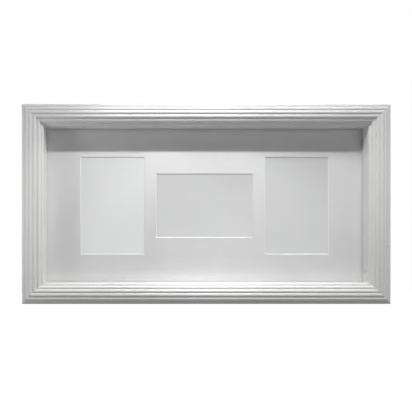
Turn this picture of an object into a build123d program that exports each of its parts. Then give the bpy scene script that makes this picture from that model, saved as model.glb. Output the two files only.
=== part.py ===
from build123d import *
import os
from math import asin, cos, radians, sin, sqrt

os.makedirs("parts", exist_ok=True)

# Collage photo frame in millimetres: the viewed side is -Y, the wall side is +Y, up is +Z.
# The origin is midway between the two hanging points, on the plane of the rails' backs.

# Frame as seen from the front
sight_width = 472.0
sight_height = 229.0
rail_width = 30.0
hang_drop = 70.0

# Reeded moulding
reed_count = 6
reed_bulge = 1.55
crown_outer_angle = 42.0
crown_inner_angle = 62.0
wall_depth = 15.5
rabbet_width = 6.0

# Sheets that lie in the rabbet, front to back
package_clearance = 1.0
glass_thickness = 2.0
mat_thickness = 0.8
photo_thickness = 0.25
tape_thickness = 0.1
filler_thickness = 1.2
backing_thickness = 3.0

# Windows in the mat, inserts and their tape
window_short = 96.0
window_long = 146.0
window_gap = 17.0
bevel_run = 0.8
photo_lap = 3.0
tape_width = 14.0
tape_grip = 8.0
tape_inset = 18.0

# V-nails across the mitres
v_nail_leg = 7.0
v_nail_spread = 35.0
v_nail_thickness = 0.6
v_nail_depth = 10.0
v_nail_heading = 225.0
v_nails_per_corner = 2
v_nail_first = 8.0
v_nail_pitch = 11.0
v_nail_play = 0.05

# Screws
shank_radius = 1.75
shank_length = 12.0
point_length = 3.5
point_radius = 0.2
head_radius = 3.4
head_height = 1.8
head_round = 0.9
recess_width = 0.9
recess_span = 4.0
recess_depth = 1.0
bore_play = 0.05
bore_spare = 0.5

# Turn buttons
button_eye_radius = 6.0
button_tip_radius = 4.0
button_reach = 16.0
button_thickness = 1.2
button_round = 0.25
button_setback = 9.0
button_corner_inset = 116.0
button_play = 0.15
pivot_play = 0.08

# Hanger straps and D-rings
ring_wire_radius = 1.2
ring_half_width = 9.0
ring_corner = 3.0
ring_straight = 1.0
strap_width = 10.0
strap_thickness = 0.9
strap_length = 24.0
strap_end_round = 4.0
strap_screw_drop = 15.0

# Wall bumpers
bumper_radius = 6.0
bumper_stand_off = 0.6
bumper_round = 1.0
bumper_inset = 40.0

# Allowance by which cutters run past what they cut
overrun = 2.0

# Sizes that follow from those above
outer_width = sight_width + 2 * rail_width
outer_height = sight_height + 2 * rail_width
middle_z = hang_drop - outer_height / 2
back_face = rail_width - rabbet_width
package_width = sight_width + 2 * (rabbet_width - package_clearance)
package_height = sight_height + 2 * (rabbet_width - package_clearance)
window_pitch = window_gap + (window_short + window_long) / 2
photo_layer = photo_thickness + tape_thickness
backing_front = -backing_thickness
filler_front = backing_front - filler_thickness
photo_front = filler_front - photo_layer
mat_front = photo_front - mat_thickness
glass_front = mat_front - glass_thickness
rabbet_depth = -glass_front
sight_depth = rabbet_depth + wall_depth
crown_radius = rail_width / (sin(radians(crown_outer_angle)) + sin(radians(crown_inner_angle)))
crown_across = crown_radius * sin(radians(crown_outer_angle))
crown_centre = sight_depth - crown_radius * cos(radians(crown_inner_angle))
full_depth = crown_centre + crown_radius + reed_bulge
button_from_edge = back_face - button_setback
ring_rise = ring_corner + ring_straight + ring_half_width
loop_radius = ring_wire_radius + pivot_play + strap_thickness
ring_pivot_z = ring_wire_radius - ring_rise
hanger_x = outer_width / 2 - back_face / 2
bumper_thickness = 2 * loop_radius + bumper_stand_off

# Each rail is laid out as the top one and turned into place: quarter turns about Y and half spans
rail_turns = {
    "top_rail": (0, outer_width, outer_height / 2),
    "right_rail": (90, outer_height, outer_width / 2),
    "bottom_rail": (180, outer_width, outer_height / 2),
    "left_rail": (270, outer_height, outer_width / 2),
}

# Windows: how far each is from the middle, its width and its height
windows = {
    "left": (-window_pitch, window_short, window_long),
    "centre": (0, window_long, window_short),
    "right": (window_pitch, window_short, window_long),
}

# Turn buttons: the rail each is on and how far along it, from the rail's middle
button_shift = outer_width / 2 - button_corner_inset
buttons = {
    "turn_button_top_left": ("top_rail", -button_shift),
    "turn_button_top_centre": ("top_rail", 0),
    "turn_button_top_right": ("top_rail", button_shift),
    "turn_button_bottom_left": ("bottom_rail", button_shift),
    "turn_button_bottom_centre": ("bottom_rail", 0),
    "turn_button_bottom_right": ("bottom_rail", -button_shift),
    "turn_button_left": ("left_rail", 0),
    "turn_button_right": ("right_rail", 0),
}


def rail_seat(name):
    turn, _, reach = rail_turns[name]
    return Pos(0, 0, middle_z) * Rot(0, turn, 0) * Pos(0, 0, reach)


def crown_point(angle, radius):
    across = crown_across + radius * sin(radians(angle))
    height = crown_centre + radius * cos(radians(angle))
    return (across, height)


def rail_section():
    step = (crown_outer_angle + crown_inner_angle) / reed_count
    chord_radius = crown_radius * cos(radians(step / 2))
    angles = [crown_inner_angle - step * i for i in range(reed_count + 1)]
    valleys = [crown_point(a, crown_radius) for a in angles]
    edges = Polyline(
        valleys[-1],
        (0, 0),
        (back_face, 0),
        (back_face, rabbet_depth),
        (rail_width, rabbet_depth),
        valleys[0],
    ).edges()
    for i in range(reed_count):
        crest = crown_point(angles[i] - step / 2, chord_radius + reed_bulge)
        edges += [ThreePointArc(valleys[i], crest, valleys[i + 1])]
    return Plane(origin=(0, 0, 0), x_dir=(0, 0, -1), z_dir=(-1, 0, 0)) * make_face(edges)


def mitred_rail(length):
    bar = extrude(rail_section(), amount=length / 2 + overrun, both=True)
    outside = length / 2 + overrun
    inside = length / 2 - rail_width - overrun
    low = -rail_width - overrun
    plan = Polyline((-outside, overrun), (outside, overrun), (inside, low), (-inside, low), close=True)
    return bar & extrude(Plane.XZ * make_face(plan), amount=full_depth + overrun, both=True)


def v_nail(play):
    leg = v_nail_leg + play
    legs = []
    for spread in (-v_nail_spread, v_nail_spread):
        plate = Box(leg, v_nail_depth + play, v_nail_thickness + 2 * play)
        legs.append(Rot(0, spread - v_nail_heading, 0) * Pos(leg / 2, -(v_nail_depth + play) / 2, 0) * plate)
    return legs[0] + legs[1]


def v_nail_seats():
    seats = []
    corners = [(1, 1, 0), (1, -1, 90), (-1, -1, 180), (-1, 1, 270)]
    for side, level, turn in corners:
        corner = Pos(side * outer_width / 2, 0, middle_z + level * outer_height / 2) * Rot(0, turn, 0)
        for i in range(v_nails_per_corner):
            along = (v_nail_first + i * v_nail_pitch) / sqrt(2)
            seats.append(corner * Pos(-along, 0, -along))
    return seats


def sheet(width, height, thickness, front):
    return Pos(0, front + thickness / 2, middle_z) * Box(width, thickness, height)


def window_cutter(across, width, height):
    slope = bevel_run / mat_thickness
    grow = 2 * slope * overrun
    front = Plane(origin=(across, mat_front - overrun, middle_z), x_dir=(1, 0, 0), z_dir=(0, 1, 0))
    back = front.offset(mat_thickness + overrun)
    wide = front * Rectangle(width + grow, height + grow)
    narrow = back * Rectangle(width - 2 * bevel_run, height - 2 * bevel_run)
    through = extrude(narrow, amount=overrun)
    return loft([wide, narrow]) + through


def mat_board():
    board = sheet(package_width, package_height, mat_thickness, mat_front)
    for across, width, height in windows.values():
        board -= window_cutter(across, width, height)
    return board


def photo_insert(across, width, height):
    card = sheet(width + 2 * photo_lap, height + 2 * photo_lap, photo_thickness, photo_front)
    return Pos(across, 0, 0) * card


def tape_strip(across, top):
    photo_back = photo_front + photo_thickness
    on_card = Pos(across, photo_back + tape_thickness / 2, top + (tape_thickness - tape_grip) / 2)
    rise = Pos(across, photo_front + photo_layer / 2, top + tape_thickness / 2)
    on_mat = Pos(across, photo_front + tape_thickness / 2, top + tape_grip / 2)
    strip = on_card * Box(tape_width, tape_thickness, tape_grip + tape_thickness)
    strip += rise * Box(tape_width, photo_layer, tape_thickness)
    strip += on_mat * Box(tape_width, tape_thickness, tape_grip)
    return strip


def tape_strips():
    strips = []
    for across, width, height in windows.values():
        half = width / 2 + photo_lap - tape_inset
        top = middle_z + height / 2 + photo_lap
        strips += [tape_strip(across - half, top), tape_strip(across + half, top)]
    return strips


def peg(radius, length):
    return Pos(0, -length / 2, 0) * Rot(90, 0, 0) * Cylinder(radius, length)


def screw():
    head = Pos(0, head_height, 0) * peg(head_radius, head_height)
    head = fillet(head.edges().sort_by(Axis.Y)[-1], head_round)
    slot = Box(recess_span, 2 * recess_depth, recess_width)
    head -= Pos(0, head_height, 0) * slot
    head -= Pos(0, head_height, 0) * Rot(0, 90, 0) * slot
    shank = peg(shank_radius, shank_length - point_length)
    point = Rot(90, 0, 0) * Cone(shank_radius, point_radius, point_length)
    point = Pos(0, point_length / 2 - shank_length, 0) * point
    return head + shank + point


def screw_bore():
    return Pos(0, overrun, 0) * peg(shank_radius + bore_play, overrun + shank_length + bore_spare)


def button_seat(name):
    rail, shift = buttons[name]
    return rail_seat(rail) * Pos(shift, 0, -button_from_edge)


def turn_button():
    lean = asin((button_eye_radius - button_tip_radius) / button_reach)
    eye = (button_eye_radius * cos(lean), -button_eye_radius * sin(lean))
    tip = (button_tip_radius * cos(lean), -button_reach - button_tip_radius * sin(lean))
    outline = [
        ThreePointArc((-eye[0], eye[1]), (0, button_eye_radius), eye),
        Line(eye, tip),
        ThreePointArc(tip, (0, -button_reach - button_tip_radius), (-tip[0], tip[1])),
        Line((-tip[0], tip[1]), (-eye[0], eye[1])),
    ]
    plate = extrude(Plane.XZ * make_face(outline), amount=-button_thickness)
    plate = fillet(plate.faces().sort_by(Axis.Y)[-1].edges(), button_round)
    plate -= Pos(0, button_thickness + overrun, 0) * peg(
        shank_radius + pivot_play, button_thickness + 2 * overrun
    )
    return Pos(0, button_play, 0) * plate


def button_screw_seat(name):
    return button_seat(name) * Pos(0, 2 * button_play + button_thickness, 0)


def hanger_seat(side):
    return Pos(side * hanger_x, 0, ring_pivot_z)


def hanger_screw_seat(side):
    return hanger_seat(side) * Pos(0, strap_thickness, -strap_screw_drop)


def hanger_strap():
    loop = Pos(0, loop_radius, 0) * Rot(0, 90, 0) * Cylinder(loop_radius, strap_width)
    plate = Pos(0, strap_thickness / 2, -strap_length / 2) * Box(strap_width, strap_thickness, strap_length)
    foot = plate.edges().filter_by(Axis.Y).group_by(Axis.Z)[0]
    strap = loop + fillet(foot, strap_end_round)
    eye = Rot(0, 90, 0) * Cylinder(ring_wire_radius + pivot_play, strap_width + 2 * overrun)
    strap -= Pos(0, loop_radius, 0) * eye
    hole = peg(shank_radius + bore_play, strap_thickness + 2 * overrun)
    return strap - Pos(0, strap_thickness + overrun, -strap_screw_drop) * hole


def d_ring():
    bar = ring_half_width - ring_corner
    turn = ring_corner / sqrt(2)
    side = ring_corner + ring_straight
    path = [
        Line((-bar, 0), (bar, 0)),
        ThreePointArc((bar, 0), (bar + turn, ring_corner - turn), (ring_half_width, ring_corner)),
        Line((ring_half_width, ring_corner), (ring_half_width, side)),
        ThreePointArc((ring_half_width, side), (0, ring_rise), (-ring_half_width, side)),
        Line((-ring_half_width, side), (-ring_half_width, ring_corner)),
        ThreePointArc((-ring_half_width, ring_corner), (-bar - turn, ring_corner - turn), (-bar, 0)),
    ]
    wire = Plane.XZ * Wire(path)
    start = Plane(origin=(-bar, 0, 0), z_dir=(1, 0, 0))
    return Pos(0, loop_radius, 0) * sweep(start * Circle(ring_wire_radius), path=wire)


def wall_bumper():
    pad = Pos(0, bumper_thickness, 0) * peg(bumper_radius, bumper_thickness)
    return fillet(pad.edges().sort_by(Axis.Y)[-1], bumper_round)


def bumper_seat(side):
    level = middle_z - outer_height / 2 + back_face / 2
    return Pos(side * (outer_width / 2 - bumper_inset), 0, level)


def save(name, *solids):
    shape = solids[0] if len(solids) == 1 else Compound(children=list(solids))
    export_step(shape, f"parts/{name}.step")


# Rails, bored for every screw and slotted for every V-nail
bores = [button_screw_seat(name) * screw_bore() for name in buttons]
bores += [hanger_screw_seat(side) * screw_bore() for side in (-1, 1)]
slots = [seat * v_nail(v_nail_play) for seat in v_nail_seats()]
for rail, (_, length, _) in rail_turns.items():
    save(rail, rail_seat(rail) * mitred_rail(length) - bores - slots)
save("corner_v_nails", *[seat * v_nail(0) for seat in v_nail_seats()])

# Sheets, front to back
save("glass_sheet", sheet(package_width, package_height, glass_thickness, glass_front))
save("mat_board", mat_board())
for name, (across, width, height) in windows.items():
    save(f"photo_insert_{name}", photo_insert(across, width, height))
save("photo_tape_strips", *tape_strips())
save("filler_card", sheet(package_width, package_height, filler_thickness, filler_front))
save("backing_board", sheet(package_width, package_height, backing_thickness, backing_front))

# Turn buttons and their screws
for name in buttons:
    save(name, button_seat(name) * turn_button())
save("turn_button_screws", *[button_screw_seat(name) * screw() for name in buttons])

# Hangers on the side rails
for name, side in (("left", -1), ("right", 1)):
    save(f"hanger_strap_{name}", hanger_seat(side) * hanger_strap())
    save(f"hanger_ring_{name}", hanger_seat(side) * d_ring())
save("hanger_screws", *[hanger_screw_seat(side) * screw() for side in (-1, 1)])

# Bumpers that keep the bottom edge off the wall
save("wall_bumpers", *[bumper_seat(side) * wall_bumper() for side in (-1, 1)])
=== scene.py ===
import bpy
from math import pi, radians
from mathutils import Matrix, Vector


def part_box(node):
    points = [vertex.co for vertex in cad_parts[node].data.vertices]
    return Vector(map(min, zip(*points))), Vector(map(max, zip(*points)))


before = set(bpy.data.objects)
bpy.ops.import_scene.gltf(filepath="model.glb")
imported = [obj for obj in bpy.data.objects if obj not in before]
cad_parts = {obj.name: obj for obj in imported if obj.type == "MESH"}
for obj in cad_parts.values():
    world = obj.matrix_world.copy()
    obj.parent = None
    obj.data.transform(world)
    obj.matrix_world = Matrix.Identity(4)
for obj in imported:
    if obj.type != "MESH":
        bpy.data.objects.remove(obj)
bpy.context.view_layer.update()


# Rails: four lengths of reeded hardwood moulding, mitred and pinned at the corners.
# Sprayed with satin white lacquer on the front, the inner wall and the outer sides;
# the backs are left as sanded bare wood, with a little overspray along the edges.

# Lengths are in metres, and a pattern's scale is about the number of its patches in a metre.
rail_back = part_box("top_rail")[1][1]
lacquer_ends = rail_back - 0.0007
wood_starts = rail_back - 0.0003
overspray = 0.0004
overspray_scale = 260.0
lacquer_shade = (0.745, 0.745, 0.74, 1)
lacquer_light = (0.775, 0.775, 0.77, 1)
lacquer_scale = 9.0
lacquer_rough = (0.272, 0.368)
satin_scale = 45.0
peel_scale = 520.0
peel_depth = 0.00002
peel_strength = 0.4
wood_dark = (0.52, 0.36, 0.2, 1)
wood_pale = (0.72, 0.56, 0.37, 1)
wood_pore = (0.36, 0.23, 0.12, 1)
wood_rough = 0.8
ring_stretch = (6.0, 130.0, 130.0)
ring_contrast = (0.32, 0.68)
pore_stretch = (90.0, 1500.0, 1500.0)
pore_contrast = (0.55, 0.75)
pore_cover = 0.35


# A node with its inputs set: a socket is linked, and anything else is the input's own value.
def add(tree, kind, inputs=None, **props):
    made = tree.nodes.new(kind)
    for key, value in props.items():
        setattr(made, key, value)
    for key, value in (inputs or {}).items():
        if isinstance(value, bpy.types.NodeSocket):
            tree.links.new(value, made.inputs[key])
        else:
            made.inputs[key].default_value = value
    return made


def group(name, ins, outs):
    tree = bpy.data.node_groups.new(name, "ShaderNodeTree")
    for label, kind, value in ins:
        socket = tree.interface.new_socket(label, in_out="INPUT", socket_type=kind)
        if value is not None:
            socket.default_value = value
    for label, kind in outs:
        tree.interface.new_socket(label, in_out="OUTPUT", socket_type=kind)
    return tree, tree.nodes.new("NodeGroupInput"), tree.nodes.new("NodeGroupOutput")


def use(tree, inner, inputs):
    return add(tree, "ShaderNodeGroup", inputs, node_tree=inner)


def material(name):
    made = bpy.data.materials.new(name)
    made.use_nodes = True
    tree = made.node_tree
    shader = tree.nodes["Principled BSDF"]
    place = add(tree, "ShaderNodeTexCoord").outputs["Object"]
    return made, tree, shader, place


def axis(tree, vector, letter):
    return add(tree, "ShaderNodeSeparateXYZ", {"Vector": vector}).outputs[letter]


def combined(tree, operation, first, second):
    return add(tree, "ShaderNodeMath", {0: first, 1: second}, operation=operation).outputs[0]


def ramp(tree, value, low, high, start=0.0, end=1.0):
    ends = {"From Min": low, "From Max": high, "To Min": start, "To Max": end}
    return add(tree, "ShaderNodeMapRange", {"Value": value, **ends}).outputs["Result"]


# The Mix node has sockets of one name for each type of data, so those for colours go by number.
def mixed(tree, share, first, second):
    return add(tree, "ShaderNodeMix", {0: share, 6: first, 7: second}, data_type="RGBA").outputs[2]


def surface(tree, shader, colour, rough, height, depth, strength):
    raised = add(tree, "ShaderNodeBump", {"Height": height, "Distance": depth, "Strength": strength})
    tree.links.new(colour, shader.inputs["Base Color"])
    tree.links.new(rough, shader.inputs["Roughness"])
    tree.links.new(raised.outputs["Normal"], shader.inputs["Normal"])


def dress(made, *nodes):
    for name in nodes:
        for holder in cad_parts[name].material_slots:
            holder.material = made


def mottle_group():
    tree, start, end = group(
        "Mottle",
        [("Vector", "NodeSocketVector", None), ("Scale", "NodeSocketFloat", 100.0),
         ("Low", "NodeSocketFloat", 0.0), ("High", "NodeSocketFloat", 1.0)],
        [("Value", "NodeSocketFloat")],
    )
    noise = add(tree, "ShaderNodeTexNoise", {"Vector": start.outputs["Vector"],
                                             "Scale": start.outputs["Scale"],
                                             "Detail": 3.0, "Roughness": 0.6})
    spread = ramp(tree, noise.outputs["Fac"], 0.3, 0.7, start.outputs["Low"], start.outputs["High"])
    tree.links.new(spread, end.inputs["Value"])
    return tree


def bare_wood_group():
    tree, start, end = group(
        "Bare wood", [("Along grain", "NodeSocketVector", None)],
        [("Color", "NodeSocketColor")],
    )
    rings = add(tree, "ShaderNodeMapping", {"Vector": start.outputs[0], "Scale": ring_stretch})
    broad = add(tree, "ShaderNodeTexNoise", {"Vector": rings.outputs[0], "Scale": 1.0, "Detail": 4.0})
    pores = add(tree, "ShaderNodeMapping", {"Vector": start.outputs[0], "Scale": pore_stretch})
    fine = add(tree, "ShaderNodeTexNoise", {"Vector": pores.outputs[0], "Scale": 1.0, "Detail": 2.0})
    tone = add(tree, "ShaderNodeValToRGB", {"Fac": broad.outputs["Fac"]})
    for stop, position, colour in zip(tone.color_ramp.elements, ring_contrast, (wood_dark, wood_pale)):
        stop.position = position
        stop.color = colour
    open_pores = ramp(tree, fine.outputs["Fac"], *pore_contrast, 0.0, pore_cover)
    tree.links.new(mixed(tree, open_pores, tone.outputs["Color"], wood_pore), end.inputs["Color"])
    return tree


mottle = mottle_group()
bare_wood = bare_wood_group()


def patches(tree, place, scale, low=0.0, high=1.0):
    return use(tree, mottle, {"Vector": place, "Scale": scale, "Low": low, "High": high}).outputs[0]


def lacquered_rail(name, turn):
    made, tree, shader, place = material(name)
    along = add(tree, "ShaderNodeMapping", {"Vector": place, "Rotation": turn}).outputs[0]
    wood = use(tree, bare_wood, {"Along grain": along}).outputs["Color"]
    white = mixed(tree, patches(tree, place, lacquer_scale), lacquer_shade, lacquer_light)
    ragged = patches(tree, place, overspray_scale, -overspray, overspray)
    edge = combined(tree, "ADD", axis(tree, place, "Y"), ragged)
    bare = ramp(tree, edge, lacquer_ends, wood_starts)
    satin = patches(tree, place, satin_scale, *lacquer_rough)
    sanded = ramp(tree, bare, 0.0, 1.0, 0.0, wood_rough)
    rough = combined(tree, "MAXIMUM", sanded, satin)
    peel = patches(tree, place, peel_scale)
    surface(tree, shader, mixed(tree, bare, white, wood), rough, peel, peel_depth, peel_strength)
    return made


dress(lacquered_rail("Lacquer_long", (0, 0, 0)), "top_rail", "bottom_rail")
dress(lacquered_rail("Lacquer_short", (0, pi / 2, 0)), "left_rail", "right_rail")


# V-nails: thin bent steel strips that draw the mitres together.
# Blued spring steel, dark and slightly uneven, pressed in from behind, flush with the wood.

blue_dark = (0.16, 0.16, 0.17, 1)
blue_pale = (0.3, 0.3, 0.31, 1)
plate_fineness = 3
plate_depth = 0.00003
plate_strength = 0.4


def plated_steel(name, dark, pale, smooth, dull, scale):
    made, tree, shader, place = material(name)
    cloudy = mixed(tree, patches(tree, place, scale), dark, pale)
    rough = patches(tree, place, scale * plate_fineness, smooth, dull)
    shader.inputs["Metallic"].default_value = 1.0
    surface(tree, shader, cloudy, rough, rough, plate_depth, plate_strength)
    return made


dress(plated_steel("Blued_steel", blue_dark, blue_pale, smooth=0.3, dull=0.5, scale=400.0),
      "corner_v_nails")


# Glass: one sheet of clear float glass, loose in the rabbet behind the inner wall.
# Clean, with a trace of green; lamp light and soft light pass straight to the mat.

glass_tint = (0.995, 0.997, 0.996, 1)
passed_light = (0.985, 0.99, 0.988, 1)
haze_scale = 14.0
haze_rough = (0.0, 0.03)


def clear_glass():
    made, tree, shader, place = material("Clear_glass")
    shader.inputs["Base Color"].default_value = glass_tint
    shader.inputs["Transmission Weight"].default_value = 1.0
    shader.inputs["IOR"].default_value = 1.5
    tree.links.new(patches(tree, place, haze_scale, *haze_rough), shader.inputs["Roughness"])
    path = add(tree, "ShaderNodeLightPath").outputs
    passing = combined(tree, "MAXIMUM", path["Is Shadow Ray"], path["Is Diffuse Ray"])
    open_way = add(tree, "ShaderNodeBsdfTransparent", {"Color": passed_light})
    blend = add(tree, "ShaderNodeMixShader", {0: passing, 1: shader.outputs[0], 2: open_way.outputs[0]})
    tree.links.new(blend.outputs[0], tree.nodes["Material Output"].inputs["Surface"])
    return made


dress(clear_glass(), "glass_sheet")


# Mat: white-faced mat board that lies behind the glass, with three windows cut at a slant.
# Uncoated paper face with a fine tooth; the core, which shows at the slant, is brighter.

mat_low, mat_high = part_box("mat_board")
mat_front = mat_low[1]
core_starts = mat_front + 0.00002
core_bare = mat_front + 0.00012
mat_shade = (0.775, 0.775, 0.77, 1)
mat_light = (0.805, 0.805, 0.80, 1)
mat_core = (0.86, 0.86, 0.85, 1)
mat_scale = 30.0
mat_rough = (0.82, 0.95)
mat_tooth_scale = 1400.0
mat_tooth_depth = 0.00006
mat_tooth_strength = 0.5


def mat_card():
    made, tree, shader, place = material("Mat_card")
    face = mixed(tree, patches(tree, place, mat_scale), mat_shade, mat_light)
    core = ramp(tree, axis(tree, place, "Y"), core_starts, core_bare)
    tooth = patches(tree, place, mat_tooth_scale)
    rough = ramp(tree, tooth, 0.0, 1.0, *mat_rough)
    surface(tree, shader, mixed(tree, core, face, mat_core), rough,
            tooth, mat_tooth_depth, mat_tooth_strength)
    return made


dress(mat_card(), "mat_board")


# Inserts: blank cards that keep the places of the photos, taped behind the windows.
# Smooth satin stock, each with painted shade: a grey fade, darkest at the top and palest at the bottom,
# that evens out the stronger lamp light near the top.

painted_fade_waver = 0.003
painted_fade_scale = 20.0
card_rough = (0.5, 0.62)
card_tooth_scale = 2200.0
card_tooth_depth = 0.00002
card_tooth_strength = 0.3


def insert_card(node, top, bottom):
    made, tree, shader, place = material(node.title())
    low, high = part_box(node)
    # Painted shade: the card's colour runs from its pale bottom tone up to a darker top tone, against the
    # lamps' stronger light near the top.
    waver = patches(tree, place, painted_fade_scale, -painted_fade_waver, painted_fade_waver)
    level = combined(tree, "ADD", axis(tree, place, "Z"), waver)
    rise = ramp(tree, level, low[2], high[2])
    painted_fade = mixed(tree, rise, (bottom, bottom, bottom, 1), (top, top, top, 1))
    tooth = patches(tree, place, card_tooth_scale)
    rough = ramp(tree, tooth, 0.0, 1.0, *card_rough)
    surface(tree, shader, painted_fade, rough, tooth, card_tooth_depth, card_tooth_strength)
    dress(made, node)


insert_card("photo_insert_left", top=0.74, bottom=0.92)
insert_card("photo_insert_centre", top=0.57, bottom=0.77)
insert_card("photo_insert_right", top=0.60, bottom=0.77)


# Tape, filler card and backing: paper tape on the mat's back, a grey filler card,
# and a brown hardboard back that closes the rabbet flush with the rails.

paper_tape = {"dark": (0.7, 0.64, 0.48, 1), "pale": (0.78, 0.73, 0.58, 1), "fleck": (0.6, 0.54, 0.4, 1)}
grey_card = {"dark": (0.4, 0.385, 0.36, 1), "pale": (0.5, 0.48, 0.45, 1), "fleck": (0.3, 0.28, 0.26, 1)}
hardboard = {"dark": (0.23, 0.133, 0.07, 1), "pale": (0.268, 0.16, 0.086, 1),
             "fleck": (0.12, 0.064, 0.032, 1)}
strand_turn = (0, 0.6, 0)
strand_stretch = (3.0, 1.0, 1.0)
strand_fineness = 9
strand_levels = (-0.4, 1.0)
strand_shows = 0.5
strand_cover = 0.45
strand_dulls = 0.15
strand_depth = 0.00004
strand_strength = 0.4


def fibre_board(name, scale, rough, dark, pale, fleck):
    made, tree, shader, place = material(name)
    ground = mixed(tree, patches(tree, place, scale), dark, pale)
    hair = add(tree, "ShaderNodeMapping", {"Vector": place, "Rotation": strand_turn,
                                           "Scale": strand_stretch}).outputs[0]
    strands = patches(tree, hair, scale * strand_fineness, *strand_levels)
    shown = ramp(tree, strands, strand_shows, 1.0, 0.0, strand_cover)
    duller = ramp(tree, strands, 0.0, 1.0, rough, rough + strand_dulls)
    surface(tree, shader, mixed(tree, shown, ground, fleck), duller,
            strands, strand_depth, strand_strength)
    return made


dress(fibre_board("Paper_tape", scale=80.0, rough=0.7, **paper_tape), "photo_tape_strips")
dress(fibre_board("Grey_card", scale=60.0, rough=0.8, **grey_card), "filler_card")
dress(fibre_board("Hardboard", scale=40.0, rough=0.5, **hardboard), "backing_board")


# Turn buttons: stamped steel leaves that hold the backing in, each on a screw in the rail's back.
# A black coat with a fine grain, slightly uneven in tone.

coat_dark = (0.014, 0.014, 0.015, 1)
coat_pale = (0.03, 0.03, 0.032, 1)
coat_scale = 300.0
coat_rough = (0.3, 0.5)
coat_grain_scale = 1800.0
coat_grain_depth = 0.00006
coat_grain_strength = 0.5
button_places = ("top_left", "top_centre", "top_right",
                 "bottom_left", "bottom_centre", "bottom_right", "left", "right")


def coated_steel():
    made, tree, shader, place = material("Black_coat")
    coat = mixed(tree, patches(tree, place, coat_scale), coat_dark, coat_pale)
    grain = patches(tree, place, coat_grain_scale, *coat_rough)
    surface(tree, shader, coat, grain, grain, coat_grain_depth, coat_grain_strength)
    return made


dress(coated_steel(), *[f"turn_button_{place}" for place in button_places])


# Screws and hangers: cross-slotted pan-head screws, folded strap hangers and their D-rings.
# Zinc-plated steel, slightly cloudy; each strap is screwed to a side rail and holds its ring in a fold.

zinc_dark = (0.33, 0.335, 0.345, 1)
zinc_pale = (0.47, 0.475, 0.48, 1)

dress(plated_steel("Zinc_plate", zinc_dark, zinc_pale, smooth=0.2, dull=0.36, scale=250.0),
      "turn_button_screws", "hanger_screws", "hanger_strap_left", "hanger_strap_right",
      "hanger_ring_left", "hanger_ring_right")


# Bumpers: two round pads at the bottom of the back, which keep the frame off the wall.
# Dark soft rubber with a faint grain, stuck on with their own adhesive.

rubber = {"dark": (0.03, 0.03, 0.03, 1), "pale": (0.045, 0.045, 0.045, 1), "fleck": (0.06, 0.06, 0.06, 1)}

dress(fibre_board("Bumper_rubber", scale=300.0, rough=0.6, **rubber), "wall_bumpers")


# Floor, light and camera: the frame hangs clear of a plain white floor, in front of white.
# Wide, shallow spots and a short bar hang above the front and wash down the mat; a narrow glow falls
# on the bottom ledge, and light from the left, the right and behind fills the shadows.

floor_size = 14.0
floor_height = -1.0
floor_shade = (0.84, 0.84, 0.84, 1)
floor_light = (0.86, 0.86, 0.86, 1)
floor_scale = 2.0
floor_shine = 0.86
right_light = 1.15
right_starts = 0.2
middle = (mat_low[2] + mat_high[2]) / 2
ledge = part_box("bottom_rail")[1][2]
far_height = middle + 0.731
near_height = middle + 0.3
white = (1, 1, 1, 1)


def seen_directly(tree):
    path = add(tree, "ShaderNodeLightPath").outputs
    seen = path["Is Camera Ray"]
    for kind in ("Is Glossy Ray", "Is Transmission Ray"):
        seen = combined(tree, "MAXIMUM", seen, path[kind])
    return seen


def floor_white():
    made, tree, shader, place = material("Floor_white")
    paint = mixed(tree, patches(tree, place, floor_scale), floor_shade, floor_light)
    tree.links.new(paint, shader.inputs["Base Color"])
    shader.inputs["Roughness"].default_value = 0.9
    shader.inputs["Emission Color"].default_value = white
    shine = ramp(tree, seen_directly(tree), 0.0, 1.0, 0.0, floor_shine)
    tree.links.new(shine, shader.inputs["Emission Strength"])
    return made


bpy.ops.mesh.primitive_plane_add(size=floor_size, location=(0, 0, floor_height))
floor = bpy.context.object
floor.name = "floor"
floor.data.materials.append(floor_white())


def studio_world():
    made = bpy.data.worlds.new("Studio")
    made.use_nodes = True
    tree = made.node_tree
    way = add(tree, "ShaderNodeTexCoord").outputs["Generated"]
    soft = ramp(tree, axis(tree, way, "X"), right_starts, 1.0, 0.0, right_light)
    back = tree.nodes["Background"]
    back.inputs["Color"].default_value = white
    tree.links.new(ramp(tree, seen_directly(tree), 0.0, 1.0, soft, 1.0), back.inputs["Strength"])
    return made


bpy.context.scene.world = studio_world()


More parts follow.
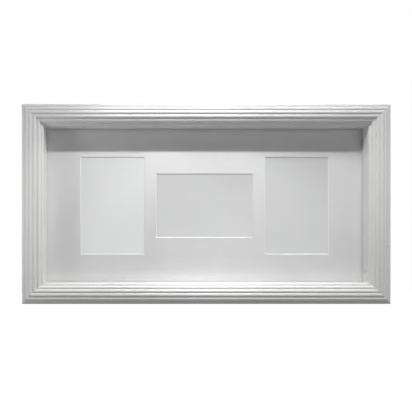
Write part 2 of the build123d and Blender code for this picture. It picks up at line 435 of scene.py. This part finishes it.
# Power is in watts, and wide stretches a spot's round cone sideways.
def lamp(name, kind, place, aim, power, wide=1.0, **shape):
    data = bpy.data.lights.new(name, kind)
    data.energy = power
    for key, value in shape.items():
        setattr(data, key, value)
    made = bpy.data.objects.new(name, data)
    bpy.context.collection.objects.link(made)
    made.location = place
    made.rotation_euler = (Vector(aim) - Vector(place)).to_track_quat("-Z", "Y").to_euler()
    made.scale = (wide, 1, 1)
    made.visible_camera = False
    return made


lamp("Far_middle", "SPOT", (0.0, -0.42, far_height), (0.0, mat_front, ledge - 0.0086), 8.64,
     wide=3.0, spot_size=radians(19), spot_blend=0.7, shadow_soft_size=0.02)
lamp("Far_right", "SPOT", (0.25, -0.37, far_height), (0.25, mat_front, ledge - 0.0055), 10.8,
     wide=3.0, spot_size=radians(18), spot_blend=0.7, shadow_soft_size=0.06)
for name, x, power in (("Near_left", -0.12, 0.77), ("Near_middle", 0.0, 0.84)):
    lamp(name, "SPOT", (x, -0.15, near_height), (x, mat_front, middle - 0.058), power,
         wide=2.0, spot_size=radians(34), spot_blend=0.5, shadow_soft_size=0.008)
lamp("Bar", "AREA", (0.0, -0.25, middle + 0.46), (0.0, mat_front, middle), 1.61,
     shape="RECTANGLE", size=0.3, size_y=0.02)
lamp("Glow", "SPOT", (0.0, -0.5, middle + 0.4), (0.0, -0.012, ledge), 2.7,
     wide=4.0, spot_size=radians(5.16), spot_blend=1.0, shadow_soft_size=0.02)
# The strip stands close to the left rail, so it is kept out of the glass.
strip = lamp("Strip_left", "AREA", (-0.45, -0.12, middle), (-0.26, -0.02, middle), 0.31,
             shape="RECTANGLE", size=0.05, size_y=0.3)
strip.visible_glossy = False
strip.visible_transmission = False
lamp("Soft_back", "AREA", (0.5, 1.3, 0.7), (0.0, 0.0, middle), 14.0, size=1.2)

eye = bpy.data.cameras.new("Camera")
camera = bpy.data.objects.new("Camera", eye)
bpy.context.collection.objects.link(camera)
bpy.context.scene.camera = camera
eye.sensor_width = 36.0
eye.lens = 36.1
eye.shift_x = 0.1
eye.shift_y = 0.0995
camera.location = (-0.0597, -0.625, middle - 0.062)
camera.rotation_euler = (pi / 2, 0, 0)

bpy.context.scene.view_settings.view_transform = "Standard"
